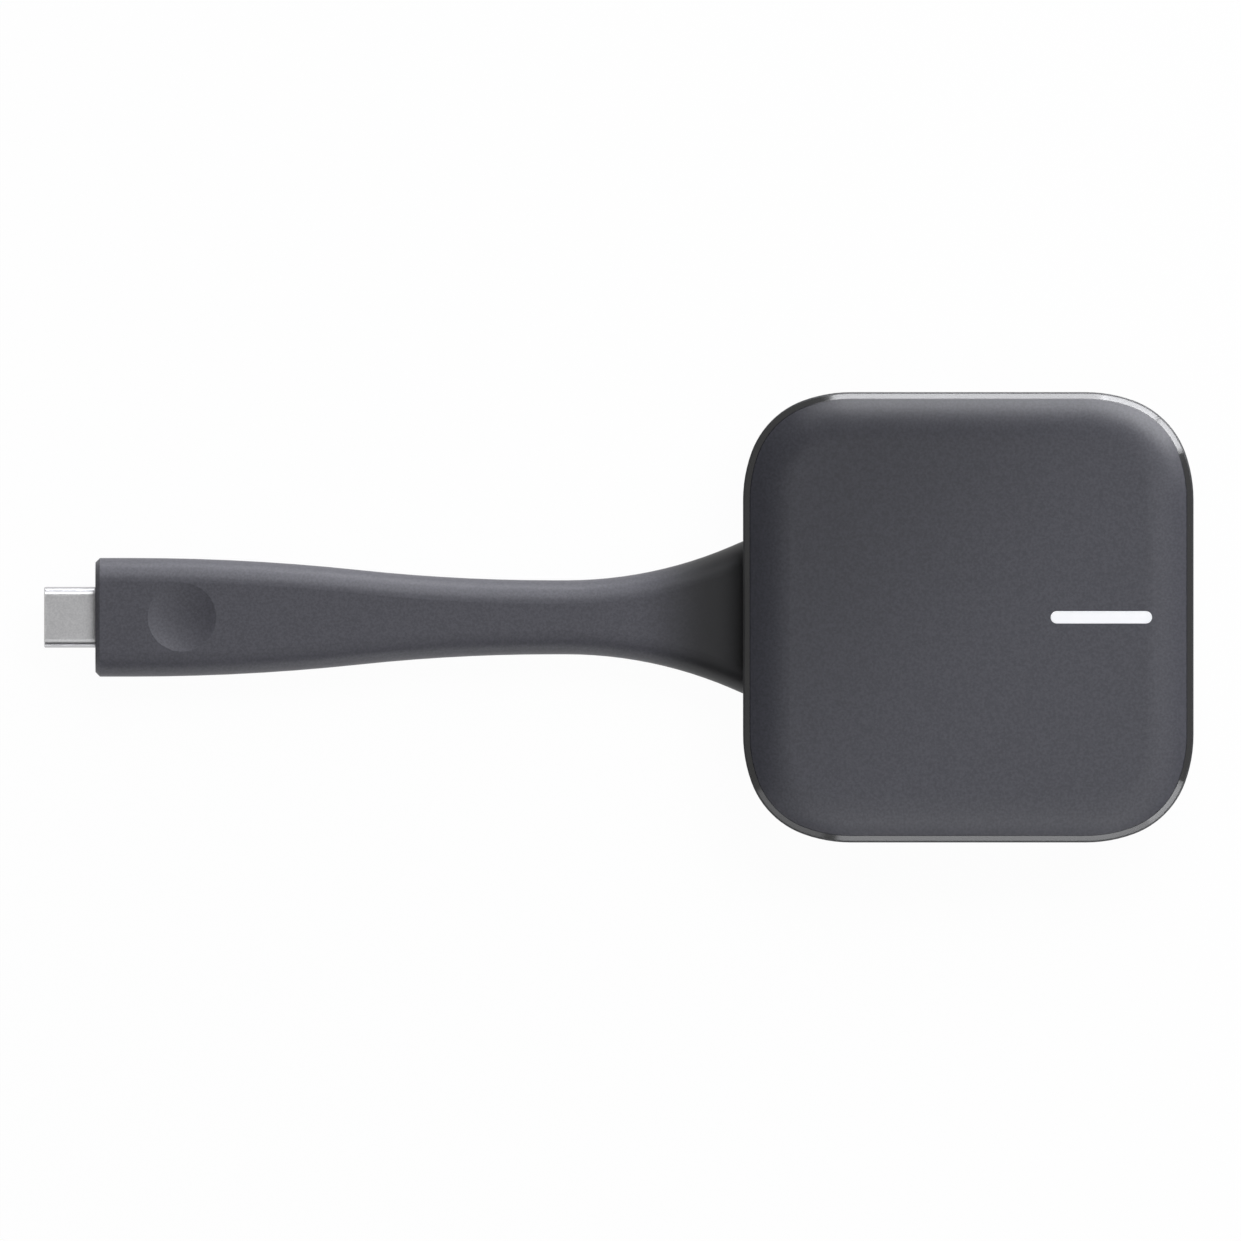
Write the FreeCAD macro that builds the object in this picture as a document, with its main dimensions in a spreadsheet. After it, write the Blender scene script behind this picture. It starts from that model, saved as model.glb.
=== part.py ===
# Wireless presentation dongle: a square button head on a flat, waisted tail with a USB-C plug.
# The origin is the centre of the head on the surface that it rests on. +X runs from the plug towards the
# head, and +Z points up, away from the rubber foot. Every length is in millimetres.
import FreeCAD, Part
import math
import os
import types

import Sketcher

# Driving sizes. Angles are in degrees, and counts and powers are plain numbers.
SIZES = {
    # Head, seen from above
    "head_width": 61.0,
    "corner_radius": 11.7,
    "corner_blend_radius": 18.9,
    "corner_blend_angle": 20.0,
    # Tub under the cap
    "base_height": 9.3,
    "base_wall": 1.8,
    "base_floor": 1.6,
    "base_edge_bevel": 1.5,
    "rib_width": 1.0,
    "rib_height": 0.9,
    "rib_spacing": 26.0,
    # Rubber foot
    "foot_inset": 5.5,
    "foot_thickness": 0.9,
    "foot_proud": 0.4,
    "foot_corner_radius": 8.0,
    # Cap, which is the button
    "press_travel": 0.4,
    "reveal": 0.6,
    "cap_side": 2.0,
    "cap_wall": 1.5,
    "cap_thickness": 1.6,
    "rim_bevel": 0.88,
    "crown_radius": 15.8,
    "crown_reach": 5.4,
    # Moulding inside the cap
    "carrier_thickness": 1.3,
    "skirt_gap": 0.3,
    "skirt_wall": 1.0,
    "skirt_overlap": 1.0,
    "skirt_length": 30.0,
    "carrier_corner_cut": 12.6,
    "carrier_rib_height": 0.9,
    "post_width": 2.8,
    "post_inset": 10.0,
    "post_to_boss": 8.5,
    "hook_width": 4.0,
    "hook_thickness": 1.0,
    "hook_catch": 0.65,
    "hook_inset": 6.3,
    "hook_spacing": 22.0,
    "hook_nose": 0.7,
    # Deck over the board
    "deck_thickness": 1.2,
    "deck_gap": 0.4,
    "deck_height_over_board": 1.6,
    "deck_corner_cut": 7.0,
    "deck_web": 1.4,
    "leg_width": 5.0,
    # Board and its screws
    "board_thickness": 1.0,
    "board_gap": 0.8,
    "board_stand": 2.2,
    "board_corner_cut": 9.0,
    "board_notch_width": 20.0,
    "board_notch_end": 9.0,
    "boss_width": 4.6,
    "boss_inset": 10.0,
    "screw_diameter": 2.0,
    "screw_head_width": 3.6,
    "screw_head_height": 0.9,
    "screw_bite": 1.9,
    # Lens, light guide and baffle
    "light_length": 13.7,
    "light_width": 1.65,
    "light_inset": 12.5,
    "light_flange": 0.8,
    "light_flange_thickness": 0.5,
    "guide_length": 12.6,
    "guide_width": 1.3,
    "guide_drop": 4.7,
    "baffle_wall": 0.7,
    "baffle_width": 4.2,
    "baffle_lip": 0.6,
    "led_length": 1.6,
    "led_width": 0.8,
    "led_height": 0.6,
    "led_spacing": 4.5,
    # Switch
    "switch_width": 6.0,
    "switch_height": 3.2,
    "stem_diameter": 3.4,
    "stem_rise": 0.6,
    "stem_depth": 0.9,
    "plunger_diameter": 4.6,
    # Parts on the board
    "processor_width": 12.0,
    "processor_height": 1.1,
    "thermal_pad_width": 11.0,
    "thermal_pad_height": 0.5,
    "spreader_length": 15.0,
    "spreader_width": 13.0,
    "spreader_thickness": 0.8,
    "part_gap": 0.5,
    "memory_length": 11.0,
    "memory_width": 9.0,
    "memory_height": 1.0,
    "memory_gap": 1.5,
    "shield_length": 15.0,
    "shield_width": 12.0,
    "shield_height": 1.3,
    "shield_wall": 0.2,
    "wifi_chip_width": 8.0,
    "wifi_chip_height": 0.8,
    "antenna_length": 10.0,
    "antenna_width": 3.6,
    "antenna_height": 1.4,
    "antenna_metal": 0.3,
    "antenna_inset": 5.5,
    "antenna_y": 11.0,
    "inductor_width": 4.0,
    "inductor_height": 1.2,
    "crystal_length": 3.2,
    "crystal_width": 2.5,
    "crystal_height": 0.8,
    "capacitor_length": 1.6,
    "capacitor_width": 0.8,
    "capacitor_height": 0.8,
    "capacitor_pitch": 1.6,
    # Lead inside the head
    "header_length": 3.6,
    "header_width": 9.0,
    "header_height": 1.9,
    "header_gap": 1.0,
    "lead_plug_length": 3.5,
    "lead_plug_width": 7.2,
    "lead_plug_height": 1.5,
    "wire_diameter": 0.6,
    "wire_pitch": 0.8,
    "cable_diameter": 3.4,
    "jacket_past_clamp": 0.7,
    "ferrule_length": 2.2,
    "ferrule_wall": 0.6,
    "clamp_inset": 9.5,
    "clamp_width": 5.0,
    "clamp_metal": 0.6,
    "clamp_ear": 7.0,
    "clamp_screw_y": 5.0,
    "clamp_screw_head": 2.8,
    # Flexible tail
    "tail_length": 87.8,
    "tail_level": 4.4,
    "tail_plug_width": 16.1,
    "tail_waist_width": 10.05,
    "tail_thickness": 6.6,
    "tail_edge_radius": 3.2,
    "tail_straight": 5.0,
    "tail_taper_turn": 35.8,
    "tail_taper_end": 62.0,
    "tail_waist_length": 1.8,
    "tail_flare_radius": 56.6,
    "tail_root_straight": 0.1,
    "tail_end_bevel": 0.6,
    "dimple_diameter": 9.3,
    "dimple_depth": 0.5,
    "dimple_place": 11.75,
    "neck_width": 16.0,
    "anchor_width": 19.0,
    "anchor_length": 2.2,
    # USB-C plug
    "plug_width": 8.25,
    "plug_height": 2.4,
    "plug_reach": 6.95,
    "plug_root": 5.0,
    "plug_metal": 0.3,
    "plug_mouth_bevel": 0.12,
    "plug_cavity_width": 6.9,
    "plug_cavity_height": 1.12,
    "plug_cavity_depth": 5.6,
    "contact_width": 0.25,
    "contact_thickness": 0.15,
    "contact_pitch": 0.5,
    "contact_setback": 1.2,
    "contact_tail": 1.8,
    "latch_thickness": 0.15,
    "latch_arm": 0.2,
    "latch_setback": 1.6,
    "plug_board_length": 7.0,
    "plug_board_width": 8.6,
    "plug_board_thickness": 0.8,
    "can_width": 10.4,
    "can_height": 3.9,
    "can_wall": 0.25,
    "can_setback": 3.2,
    "can_length": 11.4,
    # Clearances
    "fit": 0.1,
    "slide_fit": 0.05,
    "thread_fit": 0.02,
}

LED_COUNT = 3
CAPACITOR_COUNT = 5
CONTACT_COUNT = 12
WIRE_COUNT = 4
UP = FreeCAD.Vector(0, 0, 1)


class Length:
    """A size as a formula over the cells of the sheet, with the value that it has now."""

    def __init__(self, text, number):
        self.text = text
        self.number = number

    def __add__(self, other):
        other = as_length(other)
        return Length(f"({self.text} + {other.text})", self.number + other.number)

    def __sub__(self, other):
        other = as_length(other)
        return Length(f"({self.text} - {other.text})", self.number - other.number)

    def __mul__(self, other):
        other = as_length(other)
        return Length(f"({self.text} * {other.text})", self.number * other.number)

    def __truediv__(self, other):
        other = as_length(other)
        return Length(f"({self.text} / {other.text})", self.number / other.number)

    def __pow__(self, other):
        other = as_length(other)
        return Length(f"({self.text} ^ {other.text})", self.number ** other.number)

    def __neg__(self):
        return Length(f"(0 - {self.text})", -self.number)

    def __rsub__(self, other):
        return as_length(other) - self

    __radd__ = __add__
    __rmul__ = __mul__


def as_length(item):
    if isinstance(item, Length):
        return item
    return Length(f"({item})", float(item))


def root(length):
    return Length(f"sqrt({length.text})", math.sqrt(length.number))


def bind(item, path, length):
    item.setExpression(path, as_length(length).text)


document = FreeCAD.newDocument("presentation_dongle")
sheet = document.addObject("Spreadsheet::Sheet", "Sizes")
for row, (name, number) in enumerate(SIZES.items(), 1):
    sheet.set(f"A{row}", name)
    sheet.set(f"B{row}", str(number))
    sheet.setAlias(f"B{row}", name)
document.recompute()
size = types.SimpleNamespace(**{name: Length(f"Sizes.{name}", number) for name, number in SIZES.items()})

# Levels, from the table up
base_bottom = size.foot_proud
floor_top = base_bottom + size.base_floor
base_top = base_bottom + size.base_height
cap_bottom = base_top + size.reveal
rim_bottom = cap_bottom + size.cap_side
rim_top = rim_bottom + size.rim_bevel
crown_drop = size.crown_radius - root(size.crown_radius ** 2 - size.crown_reach ** 2)
cap_top = rim_top + crown_drop
cap_ceiling = cap_top - size.cap_thickness
carrier_bottom = cap_ceiling - size.carrier_thickness
board_bottom = floor_top + size.board_stand
board_top = board_bottom + size.board_thickness
deck_bottom = board_top + size.deck_height_over_board
deck_top = deck_bottom + size.deck_thickness
switch_top = board_top + size.switch_height
stem_top = switch_top + size.stem_rise

# Places along and across the head and the tail
head_half = size.head_width / 2
boss_place = head_half - size.boss_inset
post_x = head_half - size.post_inset
post_y = boss_place - size.post_to_boss
deck_inset = size.base_wall + size.skirt_gap + size.skirt_wall + size.deck_gap
board_inset = size.base_wall + size.board_gap
wall_inside = head_half - size.base_wall
hook_y = head_half - size.hook_inset
tail_end = -(head_half + size.tail_length)
plug_tip = tail_end - size.plug_reach
anchor_end = -(wall_inside - size.slide_fit - size.anchor_length)
clamp_x = -(head_half - size.clamp_inset)
header_front = -(size.switch_width / 2 + size.header_gap)
header_back = header_front - size.header_length
lead_plug_back = header_back - size.fit - size.lead_plug_length
jacket_end = clamp_x + size.clamp_width / 2 + size.jacket_past_clamp

light_x = head_half - size.light_inset
window_half = size.header_width / 2 + size.fit * 3
hook_window_inside = hook_y - size.hook_thickness - size.hook_catch
rows_y = (window_half + hook_window_inside) / 2
parts_edge = post_x - size.post_width / 2 - size.deck_web
processor_x = parts_edge - size.spreader_length / 2
shield_x = parts_edge - size.shield_length / 2
memory_x = -(boss_place - size.leg_width / 2 - size.part_gap - size.memory_length / 2)
memory_y = size.board_notch_width / 2 + size.memory_gap + size.memory_width / 2
memory_edge = memory_x + size.memory_length / 2
inductors_x = (memory_edge + processor_x - size.processor_width / 2) / 2
small_parts_x = (memory_edge + shield_x - size.shield_length / 2) / 2
clamp_ear_bottom = size.tail_level - size.cable_diameter / 4
clamp_bite = size.screw_bite * 0.8
clamp_shank = size.screw_diameter * 0.8
baffle_length = size.guide_length + size.baffle_wall * 2 + size.fit * 8
contact_rise = size.plug_cavity_height / 2 - size.contact_thickness / 2

BLEND_ANGLE = math.radians(SIZES["corner_blend_angle"])
BLEND_COSINE = Length("cos(Sizes.corner_blend_angle * 1 deg)", math.cos(BLEND_ANGLE))
BLEND_SINE = Length("sin(Sizes.corner_blend_angle * 1 deg)", math.sin(BLEND_ANGLE))
CORNERS = tuple((across, along) for across in (-1, 1) for along in (-1, 1))
screw_places = [(boss_place * side, boss_place * -side) for side in (-1, 1)]

pieces = []


def attach(item, body, plane):
    face = [face for face in body.Origin.OriginFeatures if face.Role == plane][0]
    item.AttachmentSupport = (face, [""])
    item.MapMode = "FlatFace"


class Drawing:
    """A sketch on one of its body's own planes, with its points and radii bound to the sheet."""

    def __init__(self, body, name, level, plane="XY_Plane"):
        self.sketch = body.newObject("Sketcher::SketchObject", name)
        attach(self.sketch, body, plane)
        bind(self.sketch, "AttachmentOffset.Base.z", level)

    def add(self, item):
        return self.sketch.addGeometry(item, False)

    def rule(self, *words):
        return self.sketch.addConstraint(Sketcher.Constraint(*words))

    def hold(self, kind, words, length):
        number = self.rule(kind, *words, length.number)
        bind(self.sketch, f"Constraints[{number}]", length)

    def place(self, item, end, across, along):
        for kind, length, axis in (("DistanceX", across, -2), ("DistanceY", along, -1)):
            length = as_length(length)
            if length.number == 0:
                self.rule("PointOnObject", item, end, axis)
            else:
                self.hold(kind, (item, end), length)

    def arc(self, start, end, radius):
        """The short way round between two points. It turns left, or right if the radius is negative."""
        turn = 1 if radius.number > 0 else -1
        chord = end - start
        to_centre = math.sqrt(radius.number ** 2 - chord.Length ** 2 / 4)
        left = UP.cross(chord).normalize()
        centre = (start + end) / 2 + left * to_centre * turn
        first, last = (start, end) if turn > 0 else (end, start)
        angles = [math.atan2(point.y - centre.y, point.x - centre.x) for point in (first, last)]
        if angles[1] < angles[0]:
            angles[1] += 2 * math.pi
        item = self.add(Part.ArcOfCircle(Part.Circle(centre, UP, abs(radius.number)), *angles))
        self.hold("Radius", (item,), radius * turn)
        return (item, 1, 2) if turn > 0 else (item, 2, 1)

    def outline(self, points):
        """A closed line through the points. Where a point has a radius too, an arc leads to the next."""
        corners = [(as_length(point[0]), as_length(point[1])) for point in points]
        flat = [FreeCAD.Vector(across.number, along.number, 0) for across, along in corners]
        sides = []
        for i, point in enumerate(points):
            following = flat[(i + 1) % len(flat)]
            if len(point) == 3:
                sides.append(self.arc(flat[i], following, point[2]))
            else:
                sides.append((self.add(Part.LineSegment(flat[i], following)), 1, 2))
        for i, (item, start, _) in enumerate(sides):
            before, _, end = sides[i - 1]
            self.rule("Coincident", before, end, item, start)
            self.place(item, start, *corners[i])

    def rectangle(self, left, right, low, high):
        self.outline(((left, low), (right, low), (right, high), (left, high)))

    def centred(self, across, along, width, height):
        self.rectangle(across - width / 2, across + width / 2, along - height / 2, along + height / 2)

    def circle(self, across, along, diameter):
        centre = FreeCAD.Vector(as_length(across).number, as_length(along).number, 0)
        ring = self.add(Part.Circle(centre, UP, diameter.number / 2))
        self.place(ring, 3, across, along)
        self.hold("Diameter", (ring,), diameter)

    def hexagon(self, across, along, width):
        """A hexagon by its width across the flats."""
        corner = width / root(as_length(3))
        self.outline((
            (across + corner, along),
            (across + corner / 2, along + width / 2),
            (across - corner / 2, along + width / 2),
            (across - corner, along),
            (across - corner / 2, along - width / 2),
            (across + corner / 2, along - width / 2),
        ))

    def slot(self, across, along, length, width):
        """A round-ended bar, with each end made of two quarter arcs."""
        end = width / 2
        reach = length / 2 - end
        self.outline((
            (across - reach, along - end),
            (across + reach, along - end, end),
            (across + reach + end, along, end),
            (across + reach, along + end),
            (across - reach, along + end, end),
            (across - reach - end, along, end),
        ))

    def cut_square(self, half, cut):
        """A square about the origin whose corners are cut off."""
        near = half - cut
        self.outline((
            (half, -near), (half, near), (near, half), (-near, half),
            (-half, near), (-half, -near), (-near, -half), (near, -half),
        ))

    def round_square(self, half, radius):
        """A square about the origin with round corners."""
        near = half - radius
        self.outline((
            (half, -near), (half, near, radius), (near, half), (-near, half, radius),
            (-half, near), (-half, -near, radius), (-near, -half), (near, -half, radius),
        ))

    def head_outline(self, inset):
        """The head's soft square: each corner is a tight arc between two wider ones."""
        half = head_half - inset
        wide = size.corner_blend_radius - inset
        tight = size.corner_radius - inset
        straight = half - wide + (wide - tight) * (BLEND_COSINE - BLEND_SINE)
        far = half - wide + wide * BLEND_COSINE
        near = straight + wide * BLEND_SINE
        corner = ((half, -straight), (half, straight, wide), (far, near, tight), (near, far, wide))
        points = []
        for _ in CORNERS:
            points += corner
            corner = tuple((-point[1], *point[:1], *point[2:]) for point in corner)
        self.outline(points)


def piece(label):
    body = document.addObject("PartDesign::Body", label)
    body.Label = label
    pieces.append(body)
    return body


def feature(body, kind, name, drawing):
    item = body.newObject(f"PartDesign::{kind}", name)
    item.Profile = drawing.sketch
    body.Tip = item
    return item


def pad(body, name, drawing, length, backwards=False):
    item = feature(body, "Pad", name, drawing)
    item.Reversed = backwards
    bind(item, "Length", length)
    return item


def pocket(body, name, drawing, depth, forwards=False):
    """A cut against the drawing's own direction, or along it when forwards is set."""
    item = feature(body, "Pocket", name, drawing)
    item.Reversed = forwards
    bind(item, "Length", depth)
    return item


def dress(body, kind, name, base, keep, amount):
    """Rounds or bevels the edges of base that keep accepts."""
    document.recompute()
    names = [f"Edge{i}" for i, edge in enumerate(base.Shape.Edges, 1) if keep(edge)]
    item = body.newObject(f"PartDesign::{kind}", name)
    item.Base = (base, names)
    bind(item, "Radius" if kind == "Fillet" else "Size", amount)
    body.Tip = item
    return item


def flat_at(level):
    """Accepts the edges that lie at this height."""
    def keep(edge):
        box = edge.BoundBox
        return abs(box.ZMin - level.number) < 1e-4 and abs(box.ZMax - level.number) < 1e-4
    return keep


def block(label, x, y, z, length, width, height):
    """A plain box piece: x and y are the middle of its foot, and z is its underside."""
    box = document.addObject("Part::Box", label)
    box.Label = label
    bind(box, "Length", length)
    bind(box, "Width", width)
    bind(box, "Height", height)
    bind(box, "Placement.Base.x", x - length / 2)
    bind(box, "Placement.Base.y", y - width / 2)
    bind(box, "Placement.Base.z", z)
    pieces.append(box)
    return box


def base_housing():
    body = piece("base_housing")
    outline = Drawing(body, "tub_outline", base_bottom)
    outline.head_outline(as_length(0))
    tub = pad(body, "tub", outline, size.base_height)
    dress(body, "Chamfer", "lower_edge", tub, flat_at(base_bottom), size.base_edge_bevel)

    hollow = Drawing(body, "hollow_outline", base_top)
    hollow.head_outline(size.base_wall)
    pocket(body, "hollow", hollow, size.base_height - size.base_floor)

    seat = Drawing(body, "foot_seat_outline", base_bottom)
    seat.round_square(head_half - size.foot_inset + size.fit, size.foot_corner_radius + size.fit)
    pocket(body, "foot_seat", seat, size.foot_thickness - size.foot_proud, forwards=True)

    ribs = Drawing(body, "rib_lines", floor_top)
    span = boss_place * 2 - size.boss_width - size.fit * 4
    for side in (-1, 1):
        ribs.centred(as_length(0), size.rib_spacing / 2 * side, span, size.rib_width)
    pad(body, "ribs", ribs, size.rib_height)

    bosses = Drawing(body, "boss_outlines", floor_top)
    for across, along in CORNERS:
        bosses.centred(boss_place * across, boss_place * along, size.boss_width, size.boss_width)
    pad(body, "bosses", bosses, size.board_stand)

    clamp_boss = Drawing(body, "clamp_boss_outline", floor_top)
    width = size.clamp_screw_head + size.fit * 2
    clamp_boss.centred(clamp_x, size.clamp_screw_y, width, width)
    pad(body, "clamp_boss", clamp_boss, clamp_ear_bottom - floor_top)

    saddle = Drawing(body, "saddle_outline", floor_top)
    saddle.centred(clamp_x, as_length(0), size.clamp_width, size.cable_diameter)
    pad(body, "cable_saddle", saddle, size.tail_level - size.cable_diameter / 2 - floor_top)

    bores = Drawing(body, "bore_circles", board_bottom)
    for x, y in screw_places:
        bores.circle(x, y, size.screw_diameter + size.thread_fit * 2)
    pocket(body, "boss_bores", bores, size.screw_bite)

    clamp_bore = Drawing(body, "clamp_bore_circle", clamp_ear_bottom)
    clamp_bore.circle(clamp_x, size.clamp_screw_y, clamp_shank + size.thread_fit * 2)
    pocket(body, "clamp_bore", clamp_bore, clamp_bite)

    port = Drawing(body, "port_outline", base_top)
    middle = -(head_half - size.base_wall / 2)
    port.centred(middle, as_length(0), size.base_wall * 2, size.neck_width + size.slide_fit * 2)
    pocket(body, "tail_port", port, base_top - floor_top)


def foot_pad():
    body = piece("foot_pad")
    outline = Drawing(body, "pad_outline", as_length(0))
    outline.round_square(head_half - size.foot_inset, size.foot_corner_radius)
    pad(body, "pad", outline, size.foot_thickness)


def press_cap():
    """The crown is the rounded top of a wider block, cut down to the head's outline and bevelled rim."""
    rim_block = document.addObject("PartDesign::Body", "rim_block")
    outline = Drawing(rim_block, "rim_outline", cap_bottom)
    outline.head_outline(as_length(0))
    rim_height = cap_top + size.rim_bevel - cap_bottom
    upright = pad(rim_block, "upright", outline, rim_height)
    bevel = rim_height - size.cap_side
    dress(rim_block, "Chamfer", "rim", upright, flat_at(cap_bottom + rim_height), bevel)

    body = piece("press_cap")
    wide = Drawing(body, "crown_outline", cap_top)
    wide.head_outline(-(size.crown_radius - size.crown_reach - size.rim_bevel))
    slab = pad(body, "crown_block", wide, size.crown_radius + size.reveal, backwards=True)
    dress(body, "Fillet", "crown", slab, flat_at(cap_top), size.crown_radius)
    cut = body.newObject("PartDesign::Boolean", "trim_to_rim")
    cut.Type = "Common"
    cut.setObjects([rim_block])
    body.Tip = cut

    hollow = Drawing(body, "cap_hollow_outline", cap_ceiling)
    hollow.head_outline(size.cap_wall)
    pocket(body, "cap_hollow", hollow, cap_ceiling - cap_bottom + size.fit)

    window = Drawing(body, "lens_slot_outline", cap_ceiling)
    window.slot(light_x, 0, size.light_length + size.slide_fit, size.light_width + size.slide_fit)
    pocket(body, "lens_slot", window, size.cap_thickness + size.fit, forwards=True)


def cap_carrier():
    body = piece("cap_carrier")
    plate = Drawing(body, "plate_outline", carrier_bottom)
    plate.cut_square(head_half - size.cap_wall - size.fit, size.carrier_corner_cut)
    pad(body, "plate", plate, size.carrier_thickness)

    skirt_bottom = base_top - size.skirt_overlap
    skirt = Drawing(body, "skirt_outline", skirt_bottom)
    middle = wall_inside - size.skirt_gap - size.skirt_wall / 2
    for side in (-1, 1):
        skirt.centred(middle * side, as_length(0), size.skirt_wall, size.skirt_length)
        skirt.centred(as_length(0), middle * side, size.skirt_length, size.skirt_wall)
    pad(body, "skirt", skirt, carrier_bottom - skirt_bottom)

    ribs = Drawing(body, "rib_lines", carrier_bottom)
    for side in (-1, 1):
        ribs.centred(as_length(0), post_y * side, post_x * 2, size.rib_width)
    ribs.centred(-post_x, as_length(0), size.rib_width, post_y * 2 - size.rib_width - size.fit)
    pad(body, "ribs", ribs, size.carrier_rib_height, backwards=True)

    posts = Drawing(body, "post_outlines", carrier_bottom)
    for across, along in CORNERS:
        posts.centred(post_x * across, post_y * along, size.post_width, size.post_width)
    pad(body, "guide_posts", posts, carrier_bottom - board_top - size.press_travel * 2, backwards=True)

    plunger = Drawing(body, "plunger_circle", carrier_bottom)
    plunger.circle(0, 0, size.plunger_diameter)
    pad(body, "plunger", plunger, carrier_bottom - stem_top, backwards=True)

    arms = Drawing(body, "hook_arms", carrier_bottom)
    noses = Drawing(body, "hook_noses", deck_bottom - size.slide_fit)
    for across, along in CORNERS:
        place = size.hook_spacing / 2 * across
        inner = (hook_y - size.hook_thickness) * along
        outer = hook_y * along
        tip = (hook_y + size.hook_catch) * along
        low, high = (inner, outer) if along > 0 else (outer, inner)
        arms.rectangle(place - size.hook_width / 2, place + size.hook_width / 2, low, high)
        low, high = (inner, tip) if along > 0 else (tip, inner)
        noses.rectangle(place - size.hook_width / 2, place + size.hook_width / 2, low, high)
    pad(body, "arms", arms, carrier_bottom - deck_bottom + size.slide_fit, backwards=True)
    pad(body, "noses", noses, size.hook_nose, backwards=True)

    window = Drawing(body, "light_window_outline", carrier_bottom - size.carrier_rib_height)
    length = size.light_length + size.light_flange * 2 + size.fit * 2
    window.centred(light_x, as_length(0), length, size.light_width + size.light_flange * 2 + size.fit * 2)
    pocket(body, "light_window", window, size.carrier_thickness + size.carrier_rib_height, forwards=True)


def light_bar():
    body = piece("light_bar")
    lens = Drawing(body, "lens_outline", cap_ceiling)
    lens.slot(light_x, 0, size.light_length, size.light_width)
    pad(body, "lens", lens, size.cap_thickness)
    flange = Drawing(body, "flange_outline", cap_ceiling)
    length = size.light_length + size.light_flange * 2
    flange.centred(light_x, as_length(0), length, size.light_width + size.light_flange * 2)
    pad(body, "flange", flange, size.light_flange_thickness, backwards=True)


def light_guide():
    top = cap_ceiling - size.light_flange_thickness
    block("light_guide", light_x, as_length(0), top - size.guide_drop,
          size.guide_length, size.guide_width, size.guide_drop)


def light_baffle():
    body = piece("light_baffle")
    low = board_top + size.slide_fit
    chimney = Drawing(body, "chimney_outline", low)
    chimney.centred(light_x, as_length(0), baffle_length, size.baffle_width)
    pad(body, "chimney", chimney, deck_top - low)
    lip = Drawing(body, "lip_outline", deck_top)
    lip.centred(light_x, as_length(0), baffle_length, size.baffle_width + size.baffle_lip * 2)
    pad(body, "lip", lip, size.light_flange_thickness)
    shaft = Drawing(body, "shaft_outline", low)
    shaft.centred(light_x, as_length(0), baffle_length - size.baffle_wall * 2,
                  size.baffle_width - size.baffle_wall * 2)
    pocket(body, "shaft", shaft, size.board_thickness + deck_top - low, forwards=True)


def inner_frame():
    body = piece("inner_frame")
    outline = Drawing(body, "deck_outline", deck_bottom)
    outline.cut_square(head_half - deck_inset, size.deck_corner_cut)
    pad(body, "deck", outline, size.deck_thickness)

    legs = Drawing(body, "leg_outlines", board_top)
    for across, along in CORNERS:
        legs.centred(boss_place * across, boss_place * along, size.leg_width, size.leg_width)
    pad(body, "legs", legs, size.deck_height_over_board)

    holes = Drawing(body, "screw_holes", deck_top)
    guides = Drawing(body, "post_guides", deck_top)
    guide_width = size.post_width + size.slide_fit * 2
    for x, y in screw_places:
        holes.circle(x, y, size.screw_diameter + size.fit * 2)
    for across, along in CORNERS:
        guides.centred(post_x * across, post_y * along, guide_width, guide_width)
    pocket(body, "holes", holes, deck_top - board_top + size.fit)
    pocket(body, "guides", guides, size.deck_thickness + size.fit)

    windows = Drawing(body, "windows_outline", deck_top)
    window_back = lead_plug_back - size.fit * 3
    windows.rectangle(window_back, size.switch_width / 2 + size.fit * 3,
                      -window_half, window_half)
    windows.centred(processor_x, -rows_y, size.spreader_length + size.fit * 2,
                    size.spreader_width + size.fit * 2)
    windows.centred(light_x, as_length(0), baffle_length + size.fit * 2,
                    size.baffle_width + size.fit * 2)
    for across, along in CORNERS:
        place = size.hook_spacing / 2 * across
        width = size.hook_width + size.fit * 4
        inner = hook_window_inside * along
        outer = (hook_y + size.fit) * along
        low, high = (inner, outer) if along > 0 else (outer, inner)
        windows.rectangle(place - width / 2, place + width / 2, low, high)
    pocket(body, "windows", windows, size.deck_thickness + size.fit)


def screws(label, places, shank, head, head_bottom, shank_length):
    body = piece(label)
    heads = Drawing(body, "head_outlines", head_bottom)
    shanks = Drawing(body, "shank_circles", head_bottom)
    for x, y in places:
        heads.hexagon(x, y, head)
        shanks.circle(x, y, shank)
    pad(body, "heads", heads, size.screw_head_height)
    pad(body, "shanks", shanks, shank_length, backwards=True)


def frame_screws():
    reach = deck_top - board_bottom + size.screw_bite - size.fit
    screws("frame_screws", screw_places, size.screw_diameter, size.screw_head_width, deck_top, reach)


def main_board():
    body = piece("main_board")
    outline = Drawing(body, "board_outline", board_bottom)
    outline.cut_square(head_half - board_inset, size.board_corner_cut)
    pad(body, "board", outline, size.board_thickness)
    cuts = Drawing(body, "board_cuts", board_top)
    for x, y in screw_places:
        cuts.circle(x, y, size.screw_diameter + size.fit * 2)
    cuts.rectangle(-(head_half + size.fit), -size.board_notch_end,
                   -size.board_notch_width / 2, size.board_notch_width / 2)
    pocket(body, "cuts", cuts, size.board_thickness + size.fit)


def processor_stack():
    x = processor_x
    y = -rows_y
    block("processor", x, y, board_top, size.processor_width, size.processor_width, size.processor_height)
    pad_bottom = board_top + size.processor_height
    block("thermal_pad", x, y, pad_bottom, size.thermal_pad_width, size.thermal_pad_width,
          size.thermal_pad_height)
    block("heat_spreader", x, y, pad_bottom + size.thermal_pad_height, size.spreader_length,
          size.spreader_width, size.spreader_thickness)


def memory_chips():
    for label, side in (("memory_chip", -1), ("flash_chip", 1)):
        block(label, memory_x, memory_y * side, board_top, size.memory_length,
              size.memory_width, size.memory_height)


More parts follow.
